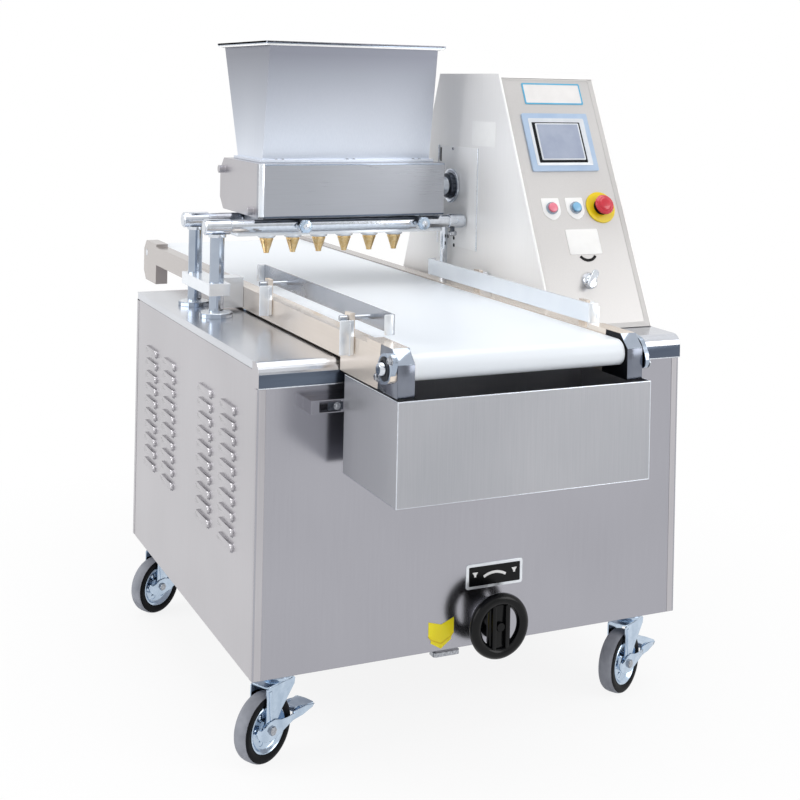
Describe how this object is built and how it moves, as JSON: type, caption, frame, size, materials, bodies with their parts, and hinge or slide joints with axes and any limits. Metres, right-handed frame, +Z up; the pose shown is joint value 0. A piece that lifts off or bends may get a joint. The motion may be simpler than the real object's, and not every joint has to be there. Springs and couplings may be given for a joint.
{
  "type": "cake depositor",
  "caption": "Bakery depositor on casters: hopper and roller pump head over a lifting belt conveyor, with a control tower.",
  "frame": {"origin": "centre of the bounding box in plan, on the floor under the casters", "axes": "+X to the right along the front, +Y from the front to the back along the belt, +Z up"},
  "size_m": [0.9488, 1.712, 1.333],
  "materials": {
    "brushed_steel": "brushed stainless sheet",
    "polished_steel": "polished stainless bar",
    "zinc": "bright zinc plated pressing",
    "tyre": "dark rubber tread",
    "black_plastic": "moulded black phenolic",
    "belt": "white food belt",
    "white_plastic": "machined food plastic",
    "brass": "turned brass",
    "screen": "blue-grey screen frame",
    "red_plastic": "moulded red",
    "blue_plastic": "moulded blue",
    "yellow_plastic": "moulded yellow",
    "painted_grey": "grey enamel on cast case"
  },
  "bodies": {
    "root": {"base_pan": "brushed_steel", "front_panel": "brushed_steel", "left_panel": "brushed_steel", "right_panel": "brushed_steel", "rear_panel": "brushed_steel", "top_deck": "brushed_steel", "catch_box": "brushed_steel", "pump_body": "brushed_steel", "pump_cap_left": "brushed_steel", "pump_cap_right": "brushed_steel", "pump_front_cover": "brushed_steel", "drive_cover": "brushed_steel", "hopper": "brushed_steel", "tower_housing": "brushed_steel", "control_panel": "brushed_steel", "column_front": "polished_steel", "column_rear": "polished_steel", "head_rail_front": "polished_steel", "head_rail_rear": "polished_steel", "rail_block_left": "polished_steel", "rail_block_right": "polished_steel", "head_post_right": "polished_steel", "nozzle_manifold": "brass", "touch_screen": "screen", "estop_ring": "yellow_plastic", "drive_gearmotor": "painted_grey"},
    "conveyor": {"channel_left": "polished_steel", "channel_right": "polished_steel", "slider_bed": "brushed_steel", "conveyor_belt": "belt", "slide_block": "polished_steel", "lift_yoke": "zinc"},
    "belt_roller_front": {"belt_roller_front": "polished_steel"},
    "belt_roller_rear": {"belt_roller_rear": "polished_steel"},
    "guide_left": {"guide_rail_left": "polished_steel"},
    "guide_right": {"guide_rail_right": "polished_steel"},
    "handwheel": {"handwheel": "black_plastic"},
    "lift_screw": {"lift_screw": "zinc"},
    "feed_front": {"feed_roller_front": "white_plastic", "drive_coupling": "polished_steel"},
    "feed_rear": {"feed_roller_rear": "white_plastic"},
    "lock_lever": {"lock_lever": "polished_steel"},
    "start_button": {"start_button": "red_plastic"},
    "stop_button": {"stop_button": "blue_plastic"},
    "estop": {"estop_button": "red_plastic"},
    "selector": {"selector_handle": "polished_steel"},
    "clamp_left": {"clamp_knob_left": "polished_steel"},
    "clamp_right": {"clamp_knob_right": "polished_steel"},
    "swivel_front_left": {"caster_fork_front_left": "zinc"},
    "wheel_front_left": {"caster_wheel_front_left": "tyre"},
    "pedal_front_left": {"caster_pedal_front_left": "zinc"},
    "swivel_front_right": {"caster_fork_front_right": "zinc"},
    "wheel_front_right": {"caster_wheel_front_right": "tyre"},
    "pedal_front_right": {"caster_pedal_front_right": "zinc"},
    "swivel_rear_left": {"caster_fork_rear_left": "zinc"},
    "wheel_rear_left": {"caster_wheel_rear_left": "tyre"},
    "pedal_rear_left": {"caster_pedal_rear_left": "zinc"},
    "swivel_rear_right": {"caster_fork_rear_right": "zinc"},
    "wheel_rear_right": {"caster_wheel_rear_right": "tyre"},
    "pedal_rear_right": {"caster_pedal_rear_right": "zinc"}
  },
  "joints": [
    {"name": "conveyor_lift", "type": "slide", "parent": "root", "child": "conveyor", "axis": [0, 0, 1], "range_m": [0, 0.03]},
    {"name": "handwheel_turn", "type": "hinge", "parent": "root", "child": "handwheel", "pos_m": [0.02311, -0.636, 0.217], "axis": [0, 1, 0], "range_deg": [0, 2160]},
    {"name": "lift_screw_turn", "type": "hinge", "parent": "root", "child": "lift_screw", "pos_m": [0.02311, -0.004, 0.4], "axis": [0, 0, 1], "range_deg": [0, 2160]},
    {"name": "belt_drive", "type": "hinge", "parent": "conveyor", "child": "belt_roller_front", "pos_m": [-0.05289, -0.818, 0.7645], "axis": [1, 0, 0], "continuous": true},
    {"name": "belt_tail", "type": "hinge", "parent": "conveyor", "child": "belt_roller_rear", "pos_m": [-0.05289, 0.828, 0.7645], "axis": [1, 0, 0], "continuous": true},
    {"name": "guide_left_slide", "type": "slide", "parent": "conveyor", "child": "guide_left", "axis": [1, 0, 0], "range_m": [0, 0.012]},
    {"name": "guide_right_slide", "type": "slide", "parent": "conveyor", "child": "guide_right", "axis": [-1, 0, 0], "range_m": [0, 0.012]},
    {"name": "feed_drive", "type": "hinge", "parent": "root", "child": "feed_front", "pos_m": [-0.07189, -0.019, 1.007], "axis": [1, 0, 0], "continuous": true},
    {"name": "feed_idle", "type": "hinge", "parent": "root", "child": "feed_rear", "pos_m": [-0.07189, 0.073, 1.007], "axis": [1, 0, 0], "continuous": true},
    {"name": "lock_lever_turn", "type": "hinge", "parent": "root", "child": "lock_lever", "pos_m": [-0.07989, -0.562, 0.158], "axis": [0, 0, 1], "range_deg": [0, 60]},
    {"name": "start_press", "type": "slide", "parent": "root", "child": "start_button", "axis": [0, 0.901, -0.4339], "range_m": [0, 0.0045], "stiffness_N_per_m": 300},
    {"name": "stop_press", "type": "slide", "parent": "root", "child": "stop_button", "axis": [0, 0.901, -0.4339], "range_m": [0, 0.0045], "stiffness_N_per_m": 300},
    {"name": "estop_press", "type": "slide", "parent": "root", "child": "estop", "axis": [0, 0.901, -0.4339], "range_m": [0, 0.0045], "stiffness_N_per_m": 500},
    {"name": "selector_turn", "type": "hinge", "parent": "root", "child": "selector", "pos_m": [0.33211, -0.43824, 0.84371], "axis": [0, -0.901, 0.4339], "range_deg": [0, 90]},
    {"name": "clamp_left_turn", "type": "hinge", "parent": "root", "child": "clamp_left", "pos_m": [-0.18989, -0.104, 0.93], "axis": [0, 1, 0], "range_deg": [0, 360]},
    {"name": "clamp_right_turn", "type": "hinge", "parent": "root", "child": "clamp_right", "pos_m": [0.09611, -0.104, 0.93], "axis": [0, 1, 0], "range_deg": [0, 360]},
    {"name": "swivel_front_left", "type": "hinge", "parent": "root", "child": "swivel_front_left", "pos_m": [-0.38189, -0.526, 0.15], "axis": [0, 0, 1], "continuous": true},
    {"name": "roll_front_left", "type": "hinge", "parent": "swivel_front_left", "child": "wheel_front_left", "pos_m": [-0.41544, -0.54384, 0.0625], "axis": [-0.4695, 0.8829, 0], "continuous": true},
    {"name": "brake_front_left", "type": "hinge", "parent": "swivel_front_left", "child": "pedal_front_left", "pos_m": [-0.35275, -0.51051, 0.074], "axis": [-0.4695, 0.8829, 0], "range_deg": [0, 14], "stiffness_Nm_per_rad": 0.5},
    {"name": "swivel_front_right", "type": "hinge", "parent": "root", "child": "swivel_front_right", "pos_m": [0.39311, -0.526, 0.15], "axis": [0, 0, 1], "continuous": true},
    {"name": "roll_front_right", "type": "hinge", "parent": "swivel_front_right", "child": "wheel_front_right", "pos_m": [0.35956, -0.54384, 0.0625], "axis": [-0.4695, 0.8829, 0], "continuous": true},
    {"name": "brake_front_right", "type": "hinge", "parent": "swivel_front_right", "child": "pedal_front_right", "pos_m": [0.42225, -0.51051, 0.074], "axis": [-0.4695, 0.8829, 0], "range_deg": [0, 14], "stiffness_Nm_per_rad": 0.5},
    {"name": "swivel_rear_left", "type": "hinge", "parent": "root", "child": "swivel_rear_left", "pos_m": [-0.38189, 0.244, 0.15], "axis": [0, 0, 1], "continuous": true},
    {"name": "roll_rear_left", "type": "hinge", "parent": "swivel_rear_left", "child": "wheel_rear_left", "pos_m": [-0.41544, 0.22616, 0.0625], "axis": [-0.4695, 0.8829, 0], "continuous": true},
    {"name": "brake_rear_left", "type": "hinge", "parent": "swivel_rear_left", "child": "pedal_rear_left", "pos_m": [-0.35275, 0.25949, 0.074], "axis": [-0.4695, 0.8829, 0], "range_deg": [0, 14], "stiffness_Nm_per_rad": 0.5},
    {"name": "swivel_rear_right", "type": "hinge", "parent": "root", "child": "swivel_rear_right", "pos_m": [0.39311, 0.244, 0.15], "axis": [0, 0, 1], "continuous": true},
    {"name": "roll_rear_right", "type": "hinge", "parent": "swivel_rear_right", "child": "wheel_rear_right", "pos_m": [0.35956, 0.22616, 0.0625], "axis": [-0.4695, 0.8829, 0], "continuous": true},
    {"name": "brake_rear_right", "type": "hinge", "parent": "swivel_rear_right", "child": "pedal_rear_right", "pos_m": [0.42225, 0.25949, 0.074], "axis": [-0.4695, 0.8829, 0], "range_deg": [0, 14], "stiffness_Nm_per_rad": 0.5}
  ],
  "couplings": [
    {"joint": "handwheel_turn", "follows": "conveyor_lift", "rad_per_m": 1256.6},
    {"joint": "lift_screw_turn", "follows": "conveyor_lift", "rad_per_m": 1256.6},
    {"joint": "belt_tail", "follows": "belt_drive", "ratio": 1},
    {"joint": "feed_idle", "follows": "feed_drive", "ratio": -1}
  ]
}
